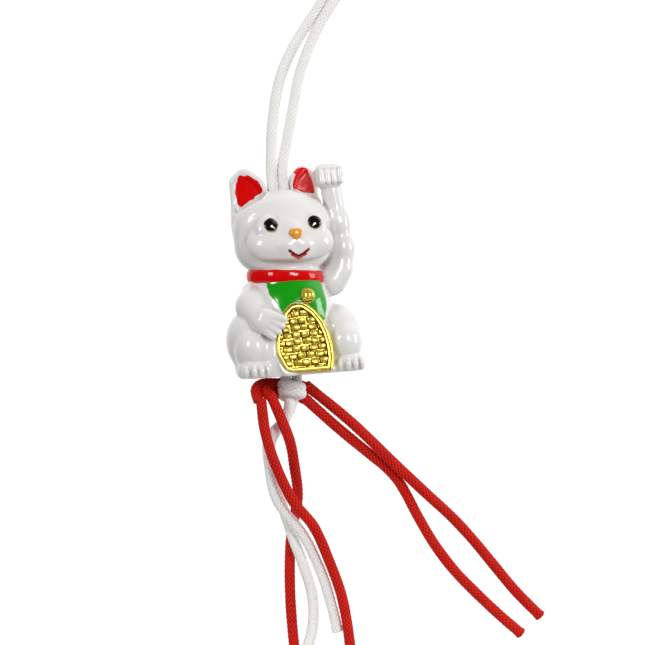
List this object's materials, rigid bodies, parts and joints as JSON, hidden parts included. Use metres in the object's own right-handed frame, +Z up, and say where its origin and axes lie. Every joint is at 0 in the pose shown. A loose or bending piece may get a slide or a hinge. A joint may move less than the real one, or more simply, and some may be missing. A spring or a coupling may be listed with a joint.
{
  "type": "beckoning cat charm",
  "caption": "Small glossy beckoning cat figurine with a raised paw and a gold coin, threaded on a doubled braided cord and stopped by a knot with white and red cord tails.",
  "frame": {"origin": "the point at the top of the cord's loop where its underside rests on a hook", "axes": "+Z up, the way the charm hangs; the cat faces -Y; its raised left arm is on the +X side"},
  "size_m": [0.0666, 0.026, 0.1654],
  "materials": {
    "white_gloss": "white gloss enamel over moulded plastic",
    "red_enamel": "hand-painted gloss red with soft edges",
    "dark_red_enamel": "gloss dark red paint",
    "green_enamel": "gloss green paint, thinner at the right edge",
    "gold_plate": "bright gold plating with dark recesses",
    "yellow_enamel": "thin yellow-olive paint ring",
    "black_enamel": "gloss black paint dome",
    "orange_enamel": "gloss orange paint",
    "white_cord": "braided white cord",
    "red_cord": "braided red cord"
  },
  "bodies": {
    "cord": {"hanging_loop": "white_cord", "cord_knot": "white_cord", "red_hitch": "red_cord", "white_tail_front": "white_cord", "white_tail_back": "white_cord", "red_tail_left_outer": "red_cord", "red_tail_left_inner": "red_cord", "red_tail_right_upper": "red_cord", "red_tail_right_lower": "red_cord"},
    "figurine": {"front_shell": "white_gloss", "back_shell": "white_gloss", "collar": "red_enamel", "bib": "green_enamel", "bell": "gold_plate", "coin": "gold_plate", "left_ear_enamel": "red_enamel", "right_ear_enamel": "red_enamel", "left_eye_ring": "yellow_enamel", "right_eye_ring": "yellow_enamel", "left_pupil": "black_enamel", "right_pupil": "black_enamel", "nose": "orange_enamel", "mouth": "dark_red_enamel", "lower_lip": "red_enamel"}
  },
  "joints": [
    {"name": "figurine_twist", "type": "hinge", "parent": "cord", "child": "figurine", "pos_m": [-0.023, 0, -0.0725], "axis": [0, 0, 1], "continuous": true}
  ]
}
